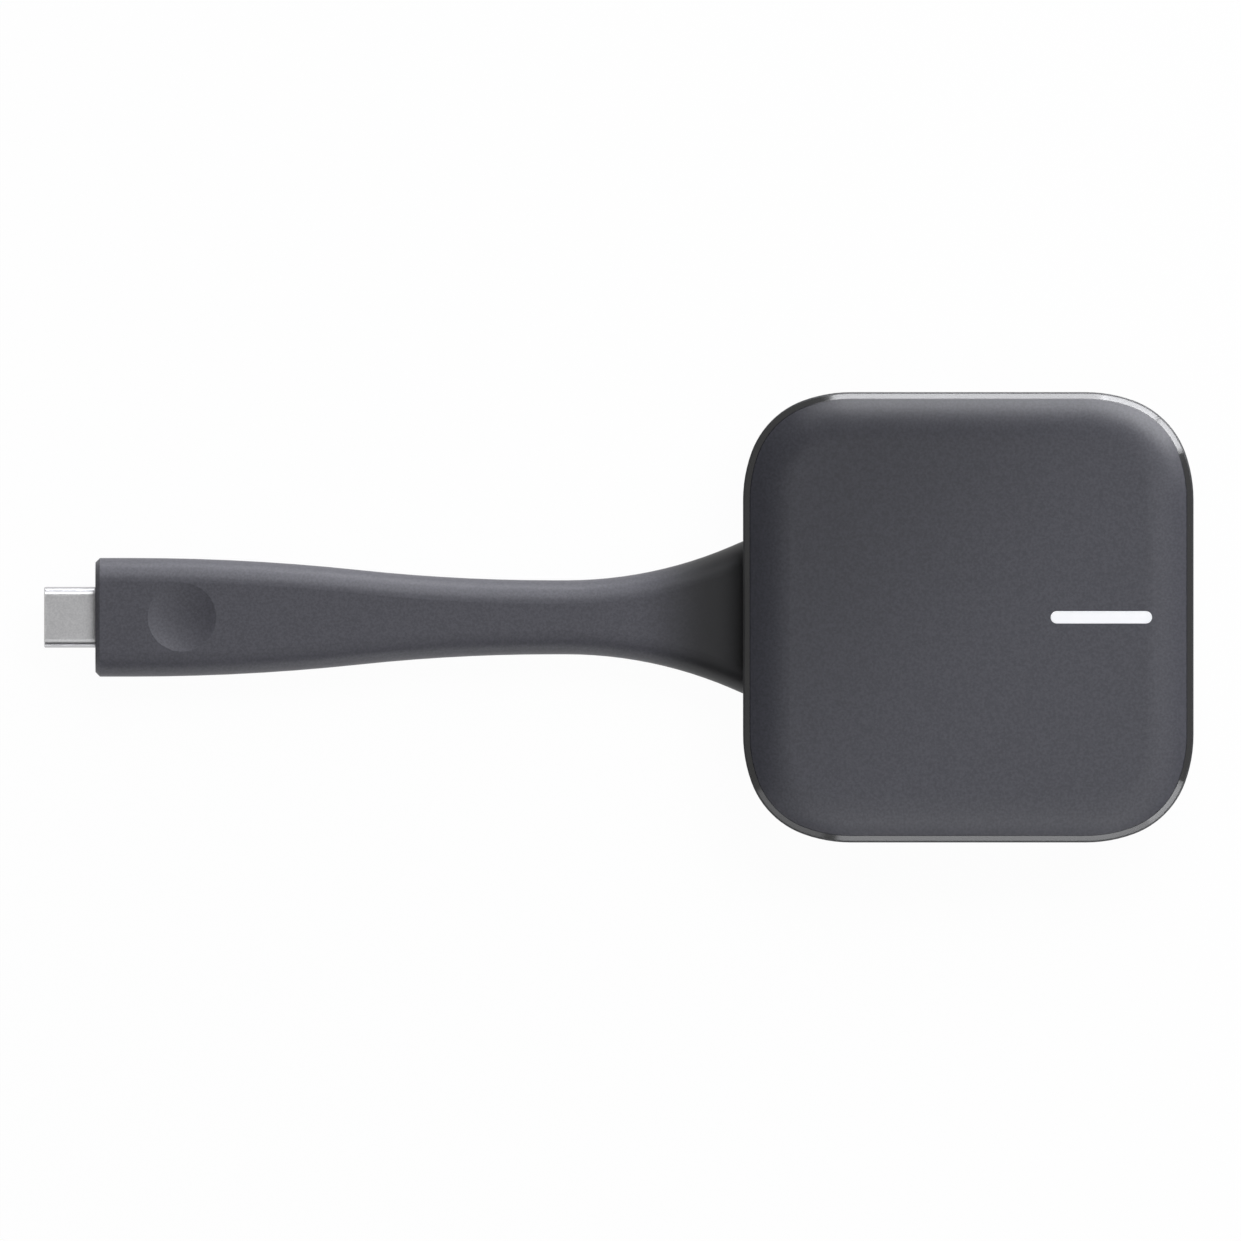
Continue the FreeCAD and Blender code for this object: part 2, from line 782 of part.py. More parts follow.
def wifi_parts():
    y = rows_y
    block("wifi_chip", shield_x, y, board_top, size.wifi_chip_width, size.wifi_chip_width,
          size.wifi_chip_height)
    body = piece("wifi_shield")
    outline = Drawing(body, "can_outline", board_top)
    outline.centred(shield_x, y, size.shield_length, size.shield_width)
    pad(body, "can", outline, size.shield_height)
    inside = Drawing(body, "can_inside", board_top)
    inside.centred(shield_x, y, size.shield_length - size.shield_wall * 2,
                   size.shield_width - size.shield_wall * 2)
    pocket(body, "hollow", inside, size.shield_height - size.shield_wall, forwards=True)


def antenna(label, side):
    """A bent strip: a roof over the board with a leg at each end."""
    body = piece(label)
    x = head_half - size.antenna_inset
    near = (size.antenna_y - size.antenna_length / 2) * side
    far = (size.antenna_y + size.antenna_length / 2) * side
    low, high = (near, far) if side > 0 else (far, near)
    top = board_top + size.antenna_height
    roof = top - size.antenna_metal
    profile = Drawing(body, "strip_profile", x - size.antenna_width / 2, "YZ_Plane")
    profile.outline((
        (low, board_top),
        (low + size.antenna_metal, board_top),
        (low + size.antenna_metal, roof),
        (high - size.antenna_metal, roof),
        (high - size.antenna_metal, board_top),
        (high, board_top),
        (high, top),
        (low, top),
    ))
    pad(body, "strip", profile, size.antenna_width)


def small_board_parts():
    x = small_parts_x
    coils = piece("power_inductors")
    drawing = Drawing(coils, "inductor_outlines", board_top)
    for step in (-1, 1):
        along = -rows_y + size.inductor_width * 0.75 * step
        drawing.centred(inductors_x, along, size.inductor_width, size.inductor_width)
    pad(coils, "inductors", drawing, size.inductor_height)

    block("crystal", x, rows_y - size.crystal_length, board_top, size.crystal_width,
          size.crystal_length, size.crystal_height)

    capacitors = piece("capacitors")
    drawing = Drawing(capacitors, "capacitor_outlines", board_top)
    for i in range(CAPACITOR_COUNT):
        along = rows_y + size.capacitor_pitch * (i + 0.5)
        drawing.centred(x, along, size.capacitor_length, size.capacitor_width)
    pad(capacitors, "capacitors", drawing, size.capacitor_height)


def status_leds():
    body = piece("status_leds")
    drawing = Drawing(body, "led_outlines", board_top)
    for i in range(LED_COUNT):
        x = light_x + size.led_spacing * (i - (LED_COUNT - 1) / 2)
        drawing.centred(x, as_length(0), size.led_length, size.led_width)
    pad(body, "leds", drawing, size.led_height)


def switch():
    body = piece("switch_body")
    outline = Drawing(body, "switch_outline", board_top)
    outline.centred(as_length(0), as_length(0), size.switch_width, size.switch_width)
    pad(body, "case", outline, size.switch_height)
    bore = Drawing(body, "stem_bore", switch_top)
    bore.circle(0, 0, size.stem_diameter + size.slide_fit * 2)
    pocket(body, "bore", bore, size.stem_depth + size.press_travel + size.fit)

    stem = piece("switch_stem")
    outline = Drawing(stem, "stem_circle", switch_top - size.stem_depth)
    outline.circle(0, 0, size.stem_diameter)
    pad(stem, "stem", outline, size.stem_depth + size.stem_rise)


def lead_connector():
    block("cable_header", header_front - size.header_length / 2, as_length(0), board_top,
          size.header_length, size.header_width, size.header_height)
    block("cable_plug", header_back - size.fit - size.lead_plug_length / 2, as_length(0),
          board_top + size.fit, size.lead_plug_length, size.lead_plug_width, size.lead_plug_height)


def cable_wires():
    """A flat row of wires that climbs from the end of the jacket to the back of the lead's plug."""
    body = piece("cable_wires")
    ends = Drawing(body, "wire_circles", jacket_end, "YZ_Plane")
    for i in range(WIRE_COUNT):
        ends.circle(size.wire_pitch * (i - (WIRE_COUNT - 1) / 2), size.tail_level, size.wire_diameter)
    run = lead_plug_back - jacket_end
    climb = board_top + size.fit + size.lead_plug_height / 2 - size.tail_level
    wires = pad(body, "wires", ends, run)
    wires.UseCustomVector = True
    wires.Direction = FreeCAD.Vector(run.number, 0, climb.number)
    bind(wires, "Direction.x", run)
    bind(wires, "Direction.z", climb)


def cable_clamp():
    """A strap over the cable, with an ear at one side that is screwed to the tub."""
    body = piece("cable_clamp")
    start = clamp_x - size.clamp_width / 2
    outer = size.cable_diameter + size.fit + size.clamp_metal * 2
    ring = Drawing(body, "strap_circle", start, "YZ_Plane")
    ring.circle(0, size.tail_level, outer)
    pad(body, "strap", ring, size.clamp_width)
    below = Drawing(body, "below_ear", start, "YZ_Plane")
    below.rectangle(-outer, outer, clamp_ear_bottom - outer, clamp_ear_bottom)
    pocket(body, "open_underside", below, size.clamp_width, forwards=True)
    ear = Drawing(body, "ear_outline", start, "YZ_Plane")
    ear_top = clamp_ear_bottom + size.clamp_metal
    ear.rectangle(size.cable_diameter / 2, size.clamp_ear, clamp_ear_bottom, ear_top)
    pad(body, "ear", ear, size.clamp_width)
    bore = Drawing(body, "cable_bore", start, "YZ_Plane")
    bore.circle(0, size.tail_level, size.cable_diameter + size.fit)
    pocket(body, "bore", bore, size.clamp_width, forwards=True)
    hole = Drawing(body, "ear_hole", ear_top)
    hole.circle(clamp_x, size.clamp_screw_y, clamp_shank + size.fit)
    pocket(body, "screw_hole", hole, size.clamp_metal + size.fit)


def clamp_screw():
    screws("clamp_screws", [(clamp_x, size.clamp_screw_y)], clamp_shank, size.clamp_screw_head,
           clamp_ear_bottom + size.clamp_metal, size.clamp_metal + clamp_bite - size.fit)


def inner_cable():
    body = piece("inner_cable")
    start = tail_end + size.can_setback + size.can_length - size.can_wall - size.fit * 3
    ring = Drawing(body, "cable_circle", start, "YZ_Plane")
    ring.circle(0, size.tail_level, size.cable_diameter)
    pad(body, "cable", ring, jacket_end - start)


def cable_ferrule():
    body = piece("cable_ferrule")
    start = anchor_end + size.fit
    ring = Drawing(body, "ferrule_outlines", start, "YZ_Plane")
    bore = size.cable_diameter + size.thread_fit * 2
    ring.hexagon(0, size.tail_level, bore + size.ferrule_wall * 2)
    ring.circle(0, size.tail_level, bore)
    pad(body, "ferrule", ring, size.ferrule_length)


def tail_plan(drawing):
    """The strap from above: straight at the plug, an S to the waist, and an arc out to the head.

    Its last stretch is straight for as far as the rounding of its edges reaches.
    """
    straight_end = tail_end + size.tail_straight
    turn = tail_end + size.tail_taper_turn
    waist_start = tail_end + size.tail_taper_end
    waist_end = waist_start + size.tail_waist_length
    wide = size.tail_plug_width / 2
    narrow = size.tail_waist_width / 2
    slope = (wide - narrow) / (waist_start - straight_end)
    bend = (1 + slope ** 2) / (slope * 2)
    out_of_straight = (turn - straight_end) * bend
    into_waist = (waist_start - turn) * bend
    turn_half = wide - (turn - straight_end) * slope
    longest_flare = -head_half - waist_end
    steepest = longest_flare / root(size.tail_flare_radius ** 2 - longest_flare ** 2)
    root_straight = size.tail_edge_radius * steepest + size.tail_root_straight
    flare_end = -head_half - root_straight
    flare_run = flare_end - waist_end
    flare_rest = root(size.tail_flare_radius ** 2 - flare_run ** 2)
    flare_half = narrow + size.tail_flare_radius - flare_rest
    root_half = flare_half + root_straight * flare_run / flare_rest
    drawing.outline((
        (tail_end, -wide),
        (straight_end, -wide, out_of_straight),
        (turn, -turn_half, -into_waist),
        (waist_start, -narrow),
        (waist_end, -narrow, -size.tail_flare_radius),
        (flare_end, -flare_half),
        (-head_half, -root_half),
        (-head_half, root_half),
        (flare_end, flare_half, -size.tail_flare_radius),
        (waist_end, narrow),
        (waist_start, narrow, -into_waist),
        (turn, turn_half, out_of_straight),
        (straight_end, wide),
        (tail_end, wide),
    ))


def tail_sleeve():
    body = piece("tail_sleeve")
    bottom = size.tail_level - size.tail_thickness / 2
    top = bottom + size.tail_thickness
    plan = Drawing(body, "strap_outline", bottom)
    tail_plan(plan)
    strap = pad(body, "strap", plan, size.tail_thickness)

    def along_side(edge):
        flat = flat_at(bottom)(edge) or flat_at(top)(edge)
        return flat and edge.BoundBox.XLength > size.slide_fit.number
    rounded = dress(body, "Fillet", "round_edges", strap, along_side, size.tail_edge_radius)
    dress(body, "Chamfer", "end_bevel", rounded,
          lambda edge: edge.BoundBox.XMax < tail_end.number + size.slide_fit.number, size.tail_end_bevel)

    neck = Drawing(body, "neck_outline", -head_half, "YZ_Plane")
    neck.rectangle(-size.neck_width / 2, size.neck_width / 2, floor_top + size.slide_fit, base_top)
    pad(body, "neck", neck, size.base_wall + size.slide_fit)
    anchor = Drawing(body, "anchor_outline", -(wall_inside - size.slide_fit), "YZ_Plane")
    anchor.rectangle(-size.anchor_width / 2, size.anchor_width / 2, floor_top + size.slide_fit,
                     deck_bottom - size.fit * 2)
    pad(body, "anchor", anchor, size.anchor_length)

    mouth = Drawing(body, "plug_mouth", tail_end, "YZ_Plane")
    mouth.slot(0, size.tail_level, size.plug_width + size.slide_fit, size.plug_height + size.slide_fit)
    pocket(body, "plug_way", mouth, size.can_setback, forwards=True)
    can = Drawing(body, "can_space_outline", tail_end + size.can_setback - size.slide_fit, "YZ_Plane")
    can.centred(as_length(0), size.tail_level, size.can_width + size.slide_fit * 2,
                size.can_height + size.slide_fit * 2)
    pocket(body, "can_space", can, size.can_length + size.slide_fit * 2, forwards=True)
    bore_start = tail_end + size.can_setback + size.can_length
    bore = Drawing(body, "cable_bore_circle", bore_start, "YZ_Plane")
    bore.circle(0, size.tail_level, size.cable_diameter + size.thread_fit * 2)
    pocket(body, "cable_bore", bore, anchor_end - bore_start, forwards=True)

    dimple(body)


def dimple(body):
    """A shallow dish cut by a ball, which meets the flat top in the dimple's rim."""
    reach = size.dimple_diameter / 2
    radius = (reach ** 2 + size.dimple_depth ** 2) / (size.dimple_depth * 2)
    ball = body.newObject("PartDesign::SubtractiveSphere", "dimple")
    attach(ball, body, "YZ_Plane")
    bind(ball, "Radius", radius)
    bind(ball, "AttachmentOffset.Base.y",
         size.tail_level + size.tail_thickness / 2 - size.dimple_depth + radius)
    bind(ball, "AttachmentOffset.Base.z", tail_end + size.dimple_place)
    body.Tip = ball


def plug_shell():
    body = piece("plug_shell")
    outer = Drawing(body, "shell_outline", plug_tip, "YZ_Plane")
    outer.slot(0, size.tail_level, size.plug_width, size.plug_height)
    tube = pad(body, "shell", outer, size.plug_reach + size.plug_root)
    dress(body, "Chamfer", "mouth_edge", tube, lambda edge: edge.BoundBox.XMax < plug_tip.number + 1e-4,
          size.plug_mouth_bevel)
    inner = Drawing(body, "shell_inside", plug_tip, "YZ_Plane")
    inner.slot(0, size.tail_level, size.plug_width - size.plug_metal * 2,
               size.plug_height - size.plug_metal * 2)
    pocket(body, "shell_bore", inner, size.plug_reach + size.plug_root, forwards=True)


def plug_insulator():
    body = piece("plug_insulator")
    outer = Drawing(body, "insulator_outline", plug_tip + size.fit, "YZ_Plane")
    inset = size.plug_metal * 2 + size.thread_fit * 2
    outer.slot(0, size.tail_level, size.plug_width - inset, size.plug_height - inset)
    pad(body, "insulator", outer, size.plug_reach + size.plug_root - size.fit * 2)
    cavity = Drawing(body, "cavity_outline", plug_tip, "YZ_Plane")
    cavity.centred(as_length(0), size.tail_level, size.plug_cavity_width, size.plug_cavity_height)
    pocket(body, "cavity", cavity, size.plug_cavity_depth, forwards=True)
    slots = Drawing(body, "slot_outlines", plug_tip, "YZ_Plane")
    for side in (-1, 1):
        slots.centred(as_length(0), size.tail_level + contact_rise * side,
                      size.contact_pitch * CONTACT_COUNT, size.contact_thickness)
    slots.centred(as_length(0), size.tail_level, size.plug_cavity_width, size.latch_thickness)
    pocket(body, "slots", slots, size.plug_reach + size.plug_root, forwards=True)


def plug_contacts(label, side):
    body = piece(label)
    start = plug_tip + size.contact_setback
    strips = Drawing(body, "contact_outlines", start, "YZ_Plane")
    for i in range(CONTACT_COUNT):
        across = size.contact_pitch * (i - (CONTACT_COUNT - 1) / 2)
        strips.centred(across, size.tail_level + contact_rise * side, size.contact_width,
                       size.contact_thickness)
    pad(body, "contacts", strips, tail_end + size.plug_root + size.contact_tail - start)


def plug_latch():
    """A flat fork between the two rows of contacts, with a hooked arm at each side of the cavity."""
    body = piece("plug_latch")
    half = size.plug_cavity_width / 2 - size.slide_fit
    front = plug_tip + size.latch_setback
    fork = plug_tip + size.plug_cavity_depth
    back = tail_end + size.plug_root - size.fit
    arm = half - size.latch_arm
    hook = arm - size.latch_arm
    nose = front + size.latch_arm * 2
    outline = Drawing(body, "latch_outline", size.tail_level - size.latch_thickness / 2)
    outline.outline((
        (back, -half), (back, half), (front, half), (front, hook), (nose, hook), (nose, arm),
        (fork, arm), (fork, -arm), (nose, -arm), (nose, -hook), (front, -hook), (front, -half),
    ))
    pad(body, "latch", outline, size.latch_thickness)


def plug_board():
    start = tail_end + size.plug_root + size.fit
    block("plug_board", start + size.plug_board_length / 2, as_length(0),
          size.tail_level - size.plug_board_thickness / 2, size.plug_board_length,
          size.plug_board_width, size.plug_board_thickness)


def plug_shield():
    """A folded can round the small board, open at the front for the shell and at the back for the cable."""
    body = piece("plug_shield")
    start = tail_end + size.can_setback
    outer = Drawing(body, "can_outline", start, "YZ_Plane")
    outer.centred(as_length(0), size.tail_level, size.can_width, size.can_height)
    pad(body, "can", outer, size.can_length)
    inner = Drawing(body, "can_inside", start + size.can_wall, "YZ_Plane")
    inner.centred(as_length(0), size.tail_level, size.can_width - size.can_wall * 2,
                  size.can_height - size.can_wall * 2)
    pocket(body, "can_hollow", inner, size.can_length - size.can_wall * 2, forwards=True)
    front = Drawing(body, "shell_way", start, "YZ_Plane")
    front.slot(0, size.tail_level, size.plug_width + size.thread_fit * 2,
               size.plug_height + size.thread_fit * 2)
    pocket(body, "front_way", front, size.can_wall + size.fit, forwards=True)
    back = Drawing(body, "cable_way", start + size.can_length, "YZ_Plane")
    back.circle(0, size.tail_level, size.cable_diameter + size.thread_fit * 2)
    pocket(body, "back_way", back, size.can_wall + size.fit)


base_housing()
foot_pad()
inner_frame()
frame_screws()
press_cap()
cap_carrier()
light_bar()
light_guide()
light_baffle()
status_leds()
main_board()
processor_stack()
memory_chips()
wifi_parts()
antenna("antenna_left", 1)
antenna("antenna_right", -1)
small_board_parts()
switch()
lead_connector()
cable_wires()
cable_clamp()
clamp_screw()
cable_ferrule()
inner_cable()
tail_sleeve()
plug_shell()
plug_insulator()
plug_contacts("plug_contacts_upper", 1)
plug_contacts("plug_contacts_lower", -1)
plug_latch()
plug_board()
plug_shield()
document.recompute()

failed = [item.Label for item in document.Objects if {"Invalid", "Error"} & set(item.State)]
failed += [item.Label for item in pieces if item.Shape.isNull() or not item.Shape.isValid()]
if failed:
    raise RuntimeError(f"these objects failed: {failed}")

os.makedirs("parts", exist_ok=True)
for item in pieces:
    item.Shape.exportStep(f"parts/{item.Label}.step")
print(len(pieces), "pieces written")
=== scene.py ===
import math

import bpy
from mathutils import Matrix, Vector


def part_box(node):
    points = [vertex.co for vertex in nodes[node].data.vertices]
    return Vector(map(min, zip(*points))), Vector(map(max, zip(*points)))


MM = 0.001

# The photograph, 1241 pixels square, looks straight down. Its scale and the place of the head's centre in
# it give the camera's aim. The sensor is in millimetres, as Blender counts it.
PHOTO_PIXELS = 1241
PIXEL = 0.1354 * MM
HEAD_CENTRE_PIXEL = (968.45, 617.3)
CAMERA_HEIGHT = 6.5
SENSOR = 36.0

# How much of a noise's middle range is spread between two tones
SOFT_SPREAD = (0.3, 0.7)
METAL_SPREAD = (0.35, 0.65)
SATIN_SPREAD = (0.36, 0.64)

# The cap's paint and the tail's rubber. Each tone fall is painted shade, given as a direction, where the
# fall starts and ends along it, and the last tone: painted shade makes the cap darker away from its free
# corner, and a painted shadow of the head makes the tail darker towards the head.
CAP_COLOUR = (0.0640, 0.0646, 0.0763)
CAP_ROUGHNESS = 0.305
CAP_GRAIN_DEPTH = 0.005 * MM
CAP_PAINTED_SHADE = ((0.78, -0.62, 0.0), 10.0 * MM, -28.0 * MM, 0.66)
TAIL_COLOUR = (0.0690, 0.0686, 0.0812)
TAIL_ROUGHNESS = 0.5
TAIL_GRAIN_DEPTH = 0.008 * MM
TAIL_PAINTED_SHADOW = ((1.0, 0.0, 0.0), -46.0 * MM, -34.6 * MM, 0.05)
SATIN_GRAIN = 0.34 * MM
SATIN_GRAIN_ROUGHNESS = 0.6
SATIN_COLOUR_CHANGE = 0.15
SATIN_GLOSS_PATCH = 2.5 * MM
SATIN_GLOSS_CHANGE = 0.03
SATIN_IOR = 1.55

# The cap's bevelled rim, which is shinier and smoother than its top and darker by painted shade, and the
# thin line where the bevel ends, matt and darkened by painted shade to a dark outline, both in depths under
# the cap's top
RIM_START = 0.93 * MM
RIM_END = 1.85 * MM
RIM_ROUGHNESS = 0.145
RIM_PAINTED_SHADE_TONE = 0.04
RIM_GRAIN = 0.1
EDGE_START = 1.60 * MM
EDGE_END = 2.0 * MM
EDGE_ROUGHNESS = 0.45
EDGE_PAINTED_SHADE_TONE = 0.15
CAP_BAND_SOFTNESS = 0.03 * MM

# The plug's shell: blasted flat faces, and smoother sides that start this far in from them, which are darker
# by painted shade
PLUG_COLOUR = (0.80, 0.795, 0.78)
PLUG_ROUGHNESS = 0.38
PLUG_SIDE = 0.12 * MM
PLUG_SIDE_PAINTED_SHADE = (0.50, 0.50, 0.51)
PLUG_SIDE_ROUGHNESS = 0.32
PLUG_BAND_SOFTNESS = 0.04 * MM

# Moulded plastic and rubber
MOULDED_PATCH = 9 * MM
MOULDED_GLOSS_PATCH = 3 * MM
MOULDED_GLOSS_CHANGE = 0.08
MOULDED_IOR = 1.5

# Metal: its darkest and lightest tone, and how far its roughness goes down and up
METAL_TONES = (0.93, 1.05)
METAL_GLOSS_CHANGES = (-0.09, 0.11)

# Floor and room. What a camera or a mirror sees of the floor is nearly all plain white. The room is dim, and
# white up to the horizon: its tone changes between two heights of a view's direction.
FLOOR_REACH = 3.0
FLOOR_TONES = (0.88, 0.9)
FLOOR_PATCH = 60 * MM
FLOOR_WHITE_SHARE = 0.97
ROOM_LEVEL = 0.02
HORIZON = (0.018, 0.03)

# The lamps' colour, what they are turned to and how far away they stand. The low boxes stand just over the
# floor, so that only the cap's bevelled rim mirrors them.
LAMP_COLOUR = (0.96, 0.965, 1.0)
LIT = (-0.03, 0.0, 0.01)
LAMP_DISTANCE = 1.0
LOW_RISE = 3.2
LOW_HEIGHT = 0.13
OVERHEAD_PLACE = (0.12, -0.2, 0.68)

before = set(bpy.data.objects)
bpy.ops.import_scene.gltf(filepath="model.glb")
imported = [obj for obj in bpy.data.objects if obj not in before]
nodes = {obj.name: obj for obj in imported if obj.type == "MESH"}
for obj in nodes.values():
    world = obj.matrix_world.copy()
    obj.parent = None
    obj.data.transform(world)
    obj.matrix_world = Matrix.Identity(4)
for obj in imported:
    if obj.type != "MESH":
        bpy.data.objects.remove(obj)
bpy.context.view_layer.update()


def new_material(name):
    material = bpy.data.materials.new(name)
    material.use_nodes = True
    tree = material.node_tree
    return material, tree, tree.nodes["Principled BSDF"]


def noise(tree, scale, detail=2.0, roughness=0.5):
    """Noise in the object's own space: scale is the size of one grain."""
    place = tree.nodes.new("ShaderNodeTexCoord")
    grain = tree.nodes.new("ShaderNodeTexNoise")
    grain.inputs["Scale"].default_value = 1 / scale
    grain.inputs["Detail"].default_value = detail
    grain.inputs["Roughness"].default_value = roughness
    tree.links.new(place.outputs["Object"], grain.inputs["Vector"])
    return grain.outputs["Fac"]


def ramp(tree, source, low, high, between=(0.0, 1.0)):
    """Spreads a part of a noise's range between two colours or two grey levels."""
    item = tree.nodes.new("ShaderNodeValToRGB")
    for i, tone in enumerate((low, high)):
        channels = tone if isinstance(tone, tuple) else (tone, tone, tone)
        item.color_ramp.elements[i].position = between[i]
        item.color_ramp.elements[i].color = (*channels, 1)
    tree.links.new(source, item.inputs["Fac"])
    return item.outputs["Color"]


def bump(tree, shader, source, depth):
    """Raises the surface by the source times depth."""
    item = tree.nodes.new("ShaderNodeBump")
    item.inputs["Strength"].default_value = 1.0
    item.inputs["Distance"].default_value = depth
    tree.links.new(source, item.inputs["Height"])
    tree.links.new(item.outputs["Normal"], shader.inputs["Normal"])
    return item


def height_band(tree, low, high, soft):
    """1 between two heights in the object's own space, with soft edges."""
    place = tree.nodes.new("ShaderNodeTexCoord")
    parts = tree.nodes.new("ShaderNodeSeparateXYZ")
    tree.links.new(place.outputs["Object"], parts.inputs["Vector"])
    both = tree.nodes.new("ShaderNodeMath")
    both.operation = "MULTIPLY"
    for i, (start, end) in enumerate(((low - soft, low + soft), (high + soft, high - soft))):
        side = tree.nodes.new("ShaderNodeMapRange")
        side.inputs["From Min"].default_value = start
        side.inputs["From Max"].default_value = end
        tree.links.new(parts.outputs["Z"], side.inputs["Value"])
        tree.links.new(side.outputs["Result"], both.inputs[i])
    return both.outputs["Value"]


def along(tree, direction, start, end, last):
    """A level that falls from 1 to the last one between two distances along a direction of the object."""
    place = tree.nodes.new("ShaderNodeTexCoord")
    reach = tree.nodes.new("ShaderNodeVectorMath")
    reach.operation = "DOT_PRODUCT"
    reach.inputs[1].default_value = direction
    level = tree.nodes.new("ShaderNodeMapRange")
    level.interpolation_type = "SMOOTHSTEP"
    for socket, value in (("From Min", start), ("From Max", end), ("To Min", 1.0), ("To Max", last)):
        level.inputs[socket].default_value = value
    tree.links.new(place.outputs["Object"], reach.inputs[0])
    tree.links.new(reach.outputs["Value"], level.inputs["Value"])
    return level.outputs["Result"]


def blend(tree, share, plain, other, kind="FLOAT"):
    """Plain where the share is 0 and other where it is 1. Each is an output or a constant."""
    item = tree.nodes.new("ShaderNodeMix")
    item.data_type = kind
    tree.links.new(share, item.inputs["Factor"])
    ends = [socket for socket in item.inputs if socket.enabled and socket.name in ("A", "B")]
    for socket, value in zip(ends, (plain, other)):
        if isinstance(value, bpy.types.NodeSocket):
            tree.links.new(value, socket)
        else:
            socket.default_value = value
    return [socket for socket in item.outputs if socket.enabled][0]


def shade(colour, factor):
    return tuple(channel * factor for channel in colour)


def finish_band(tree, shader, band, roughness, colour):
    """Gives the surface another roughness and colour where the band is 1."""
    for name, other, kind in (("Roughness", roughness, "FLOAT"), ("Base Color", (*colour, 1), "RGBA")):
        plain = shader.inputs[name].links[0].from_socket
        tree.links.new(blend(tree, band, plain, other, kind), shader.inputs[name])


def moulded(name, colour, roughness, grain=0.12 * MM, depth=0.006 * MM, spread=0.06):
    """A moulded surface: a fine grain, slow patches of gloss and a faint change of colour."""
    material, tree, shader = new_material(name)
    patches = noise(tree, MOULDED_PATCH, detail=3.0)
    colours = ramp(tree, patches, shade(colour, 1 - spread), shade(colour, 1 + spread), SOFT_SPREAD)
    tree.links.new(colours, shader.inputs["Base Color"])
    gloss = ramp(tree, noise(tree, MOULDED_GLOSS_PATCH, detail=4.0),
                 roughness - MOULDED_GLOSS_CHANGE, roughness + MOULDED_GLOSS_CHANGE)
    tree.links.new(gloss, shader.inputs["Roughness"])
    bump(tree, shader, noise(tree, grain, detail=1.0), depth)
    shader.inputs["IOR"].default_value = MOULDED_IOR
    return material


def metal(name, colour, roughness, line=(1.0, 0.02, 0.02), grain=0.05 * MM, depth=0.0006 * MM):
    """Drawn or brushed metal. Its grain is stretched along the axes whose share in line is small."""
    material, tree, shader = new_material(name)
    place = tree.nodes.new("ShaderNodeTexCoord")
    stretch = tree.nodes.new("ShaderNodeMapping")
    stretch.inputs["Scale"].default_value = line
    lines = tree.nodes.new("ShaderNodeTexNoise")
    lines.inputs["Scale"].default_value = 1 / grain
    lines.inputs["Detail"].default_value = 3.0
    tree.links.new(place.outputs["Object"], stretch.inputs["Vector"])
    tree.links.new(stretch.outputs["Vector"], lines.inputs["Vector"])
    dark, light = METAL_TONES
    colours = ramp(tree, lines.outputs["Fac"], shade(colour, dark), shade(colour, light), METAL_SPREAD)
    tree.links.new(colours, shader.inputs["Base Color"])
    down, up = METAL_GLOSS_CHANGES
    gloss = ramp(tree, lines.outputs["Fac"], roughness + down, roughness + up)
    tree.links.new(gloss, shader.inputs["Roughness"])
    bump(tree, shader, lines.outputs["Fac"], depth)
    shader.inputs["Metallic"].default_value = 1.0
    return material


def satin(name, colour, roughness, painted_shade, depth):
    """Painted or moulded satin with a fine grain of this depth, and painted shade that lowers its tone along
    the object.
    """
    material, tree, shader = new_material(name)
    speck = noise(tree, SATIN_GRAIN, roughness=SATIN_GRAIN_ROUGHNESS)
    dark, light = shade(colour, 1 - SATIN_COLOUR_CHANGE), shade(colour, 1 + SATIN_COLOUR_CHANGE)
    shaded_colours = tree.nodes.new("ShaderNodeVectorMath")
    shaded_colours.operation = "SCALE"
    tree.links.new(ramp(tree, speck, dark, light, SATIN_SPREAD), shaded_colours.inputs["Vector"])
    # Painted shade: the colour is scaled by a level that falls along the object.
    tree.links.new(along(tree, *painted_shade), shaded_colours.inputs["Scale"])
    tree.links.new(shaded_colours.outputs["Vector"], shader.inputs["Base Color"])
    gloss = ramp(tree, noise(tree, SATIN_GLOSS_PATCH, detail=4.0),
                 roughness - SATIN_GLOSS_CHANGE, roughness + SATIN_GLOSS_CHANGE)
    tree.links.new(gloss, shader.inputs["Roughness"])
    shader.inputs["IOR"].default_value = SATIN_IOR
    return material, tree, shader, bump(tree, shader, speck, depth)


def cap_material():
    """Satin paint whose bevelled rim is shinier than the top and darkened by painted shade, and ends in a
    thin matt line darkened by painted shade.
    """
    # Painted shade: the cap's colour falls away from its free corner.
    material, tree, shader, grain = satin("cap_satin", CAP_COLOUR, CAP_ROUGHNESS, CAP_PAINTED_SHADE, CAP_GRAIN_DEPTH)
    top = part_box("press_cap")[1][2] - nodes["press_cap"].location.z
    rim = height_band(tree, top - RIM_END, top - RIM_START, CAP_BAND_SOFTNESS)
    # Painted shade: the rim's colour is a small share of the cap's.
    finish_band(tree, shader, rim, RIM_ROUGHNESS, shade(CAP_COLOUR, RIM_PAINTED_SHADE_TONE))
    tree.links.new(blend(tree, rim, 1.0, RIM_GRAIN), grain.inputs["Strength"])
    # Painted shade: a dark outline where the bevel ends.
    painted_edge_line = height_band(tree, top - EDGE_END, top - EDGE_START, CAP_BAND_SOFTNESS)
    finish_band(tree, shader, painted_edge_line, EDGE_ROUGHNESS, shade(CAP_COLOUR, EDGE_PAINTED_SHADE_TONE))
    return material


def tail_material():
    # Painted shadow of the head: the tail's colour falls towards it.
    return satin("tail_rubber", TAIL_COLOUR, TAIL_ROUGHNESS, TAIL_PAINTED_SHADOW, TAIL_GRAIN_DEPTH)[0]


